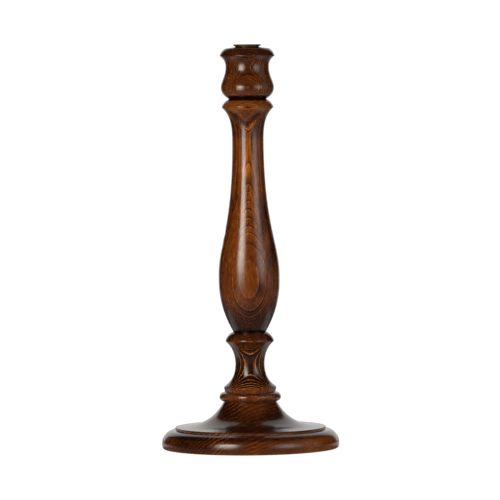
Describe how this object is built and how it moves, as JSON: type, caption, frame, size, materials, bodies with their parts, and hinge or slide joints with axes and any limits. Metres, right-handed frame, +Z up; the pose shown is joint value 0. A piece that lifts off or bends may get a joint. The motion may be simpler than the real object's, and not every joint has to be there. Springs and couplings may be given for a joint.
{
  "type": "candlestick lamp",
  "caption": "Turned wooden candlestick table lamp with a broad stepped foot, a slim baluster column and a small screw-cap lampholder sunk in the cup under a knurled shade ring",
  "frame": {"origin": "centre of the felt face that the lamp rests on", "axes": "+Z up along the column; +Y towards the back, where the cable inlet is; the picture looks along +Y; +X to the right in it"},
  "size_m": [0.1704, 0.1703, 0.388],
  "materials": {
    "foot_wood": "dark stained ring-porous wood, satin lacquer",
    "spindle_wood": "dark stained flat-sawn wood, satin lacquer",
    "felt": "dark green felt",
    "black_plastic": "moulded black plastic",
    "brass": "lacquered brass",
    "shell_brass": "bright pressed brass",
    "zinc_steel": "zinc plated",
    "tinned_brass": "tinned",
    "fibre": "red vulcanised fibre",
    "steatite": null,
    "black_metal": "satin black lacquer"
  },
  "bodies": {
    "lamp": {"foot": "foot_wood", "column": "spindle_wood", "cup": "spindle_wood", "felt_pad": "felt", "cable_bush": "black_plastic", "tube_ferrule": "black_plastic", "threaded_tube": "brass", "clamp_washer": "zinc_steel", "lock_washer": "zinc_steel", "clamp_nut": "zinc_steel", "earth_tag": "tinned_brass", "seat_washer": "fibre", "holder_cap": "brass", "holder_skirt": "brass", "insulator": "steatite", "screw_shell": "shell_brass", "centre_contact": "shell_brass", "terminal_posts": "shell_brass", "terminal_screws": "zinc_steel"},
    "shade_ring": {"shade_ring": "black_metal"}
  },
  "joints": [
    {"name": "shade_ring_turn", "type": "hinge", "parent": "lamp", "child": "shade_ring", "pos_m": [0, 0, 0.3872], "axis": [0, 0, 1], "range_deg": [-432, 0]}
  ]
}
